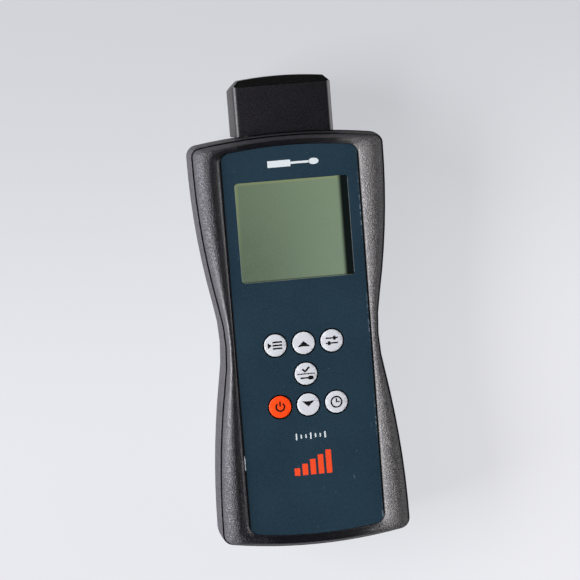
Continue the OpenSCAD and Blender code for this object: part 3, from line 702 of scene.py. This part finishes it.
# Red level bars in the lower part of the panel
BAR_LOW = PANEL_LOW.y + 23.9 * MM
BAR_HEIGHTS = [(3.0 + 1.6 * k) * MM for k in range(5)]
BARS = [
    flat_bar((k - 2) * 3.2 * MM, BAR_LOW + height / 2, 2.2 * MM, height)
    for k, height in enumerate(BAR_HEIGHTS)]
print_mark("panel_level_sign", BARS, FACE_Z, RED_INK, "case")

# A small white scale above the bars, every third tick longer
SCALE_Y = PANEL_LOW.y + 39.5 * MM
TICKS = [
    flat_bar(k * 1.9 * MM, SCALE_Y, 0.55 * MM, (1.5 if k % 3 else 2.6) * MM)
    for k in range(-3, 4)]
print_mark("panel_scale_sign", TICKS, FACE_Z, WHITE_INK, "case")


def display_lens():
    """A lens that fills the window almost flush with the panel and shows the display."""
    size = LENS_HIGH - LENS_LOW
    middle = (LENS_HIGH + LENS_LOW) / 2
    lens = flat_bar(middle.x, middle.y, size.x - LENS_GAP, size.y - LENS_GAP)
    lens.name = lens.data.name = "display_lens"
    bpy.ops.object.mode_set(mode="EDIT")
    bpy.ops.mesh.select_all(action="SELECT")
    bpy.ops.mesh.bevel(
        offset=LENS_CORNER, segments=LENS_CORNER_SEGMENTS, affect="VERTICES")
    bpy.ops.object.mode_set(mode="OBJECT")
    thicken(LENS_THICK)
    lens.location.z = FACE_Z - LENS_SINK - LENS_THICK
    settle(lens)
    bpy.ops.object.shade_smooth_by_angle(angle=LENS_SHARP_ANGLE)
    lens.data.materials.append(FINISHES["display"])
    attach(lens, "case")
    bpy.ops.object.select_all(action="DESELECT")


display_lens()

# Studio. The camera looks from the upper left of the panel and is rolled, so the meter
# leans in the picture. Lens and sensor are in millimetres.
CAMERA_PLACE = Vector((-72.3, 102.0, 801.8)) * MM
CAMERA_AIM = Vector((-3.7, 10.3, 35.4)) * MM
CAMERA_ROLL = math.radians(4.5)
CAMERA_LENS = 122.6
CAMERA_SENSOR = 36.0
CAMERA_CLIP = (0.05, 50)
LEFT_POWER = 248
RIGHT_POWER = 34
WORLD_LEVEL = 0.045
WORLD_COLOUR = (0.92, 0.94, 1.0)
BACKDROP = linear(222, 222, 227)
FLOOR_SIZE = 30
FLOOR_DIM = linear(207, 208, 213)
FLOOR_PALE = linear(229, 230, 235)
FLOOR_LIT = linear(240, 240, 245)
FLOOR_GLOW = 0.8  # share of the floor's colour that glows for the camera
FLOOR_BOUNCE = (0.5, 0.5, 0.51)  # the floor's colour for light that falls on the object


def add_camera():
    bpy.ops.object.camera_add()
    camera = bpy.context.object
    camera.name = "studio_camera"
    camera.data.lens = CAMERA_LENS
    camera.data.sensor_width = CAMERA_SENSOR
    camera.data.clip_start, camera.data.clip_end = CAMERA_CLIP
    ahead = (CAMERA_AIM - CAMERA_PLACE).normalized()
    up = (Vector((0, 1, 0)) - ahead * ahead.y).normalized()
    right = ahead.cross(up)
    up = up * math.cos(CAMERA_ROLL) + right * math.sin(CAMERA_ROLL)
    right = ahead.cross(up)
    turn = Matrix((right, up, -ahead)).transposed().to_4x4()
    camera.matrix_world = Matrix.Translation(CAMERA_PLACE) @ turn
    bpy.context.scene.camera = camera


def add_softbox(name, place, aim, width, height, power):
    bpy.ops.object.light_add(type="AREA", location=place)
    lamp = bpy.context.object
    lamp.name = name
    lamp.data.shape = "RECTANGLE"
    lamp.data.size = width
    lamp.data.size_y = height
    lamp.data.energy = power
    lamp.rotation_mode = "QUATERNION"
    lamp.rotation_quaternion = (Vector(aim) - Vector(place)).to_track_quat("-Z", "Y")


def add_floor():
    """Pale floor that glows in part for the camera alone, so that the shadow stays faint. It
    is lighter towards the foot, with painted light towards the right, and takes the backdrop's
    colour far away."""
    bpy.ops.mesh.primitive_plane_add(size=FLOOR_SIZE, location=(0, 0, 0))
    floor = bpy.context.object
    floor.name = "studio_floor"
    f = Finish("studio_floor")
    x, y = f.axis("X"), f.axis("Y")
    to_foot = y.step(0.14, -0.06)
    to_right = x.step(0.0, 0.12)
    far = (x * x + y * y).math("SQRT").step(0.35, 1.1)
    paint = f.blend(to_foot, FLOOR_DIM, FLOOR_PALE)
    # Painted light: the glow is lighter still towards the foot and the right.
    glow_colour = f.coats(paint, (to_right * to_foot, FLOOR_LIT), (far, BACKDROP))
    seen = f.node("ShaderNodeLightPath", {}, out="Is Camera Ray")
    f.set(Base_Color=f.blend(seen, FLOOR_BOUNCE, paint), Roughness=0.9)
    surface = Value(f, f.shader.outputs["BSDF"])
    glow = f.node("ShaderNodeEmission", {}, glow_colour, 1.0, out="Emission")
    both = f.node("ShaderNodeMixShader", {}, seen * far.most(FLOOR_GLOW), surface, glow)
    f.tree.links.new(both.socket, f.tree.nodes["Material Output"].inputs["Surface"])
    floor.data.materials.append(f.material)


def set_world():
    """A dim even light, and the backdrop's colour for the camera."""
    world = bpy.data.worlds.new("studio")
    bpy.context.scene.world = world
    world.use_nodes = True
    tree = world.node_tree
    tree.nodes.clear()
    out = tree.nodes.new("ShaderNodeOutputWorld")
    light = tree.nodes.new("ShaderNodeBackground")
    light.inputs["Color"].default_value = (*WORLD_COLOUR, 1)
    light.inputs["Strength"].default_value = WORLD_LEVEL
    seen = tree.nodes.new("ShaderNodeBackground")
    seen.inputs["Color"].default_value = (*BACKDROP, 1)
    mix = tree.nodes.new("ShaderNodeMixShader")
    path = tree.nodes.new("ShaderNodeLightPath")
    tree.links.new(path.outputs["Is Camera Ray"], mix.inputs[0])
    tree.links.new(light.outputs[0], mix.inputs[1])
    tree.links.new(seen.outputs[0], mix.inputs[2])
    tree.links.new(mix.outputs[0], out.inputs["Surface"])


add_camera()
add_floor()
set_world()
add_softbox(
    "left_softbox", place=(-2.6, 0.1, 1.05), aim=(0, 0, 0),
    width=2.2, height=1.9, power=LEFT_POWER)
add_softbox(
    "right_softbox", place=(2.8, 0.3, 0.36), aim=(0, 0, 0.02),
    width=1.6, height=0.55, power=RIGHT_POWER)
bpy.context.scene.view_settings.view_transform = "Standard"
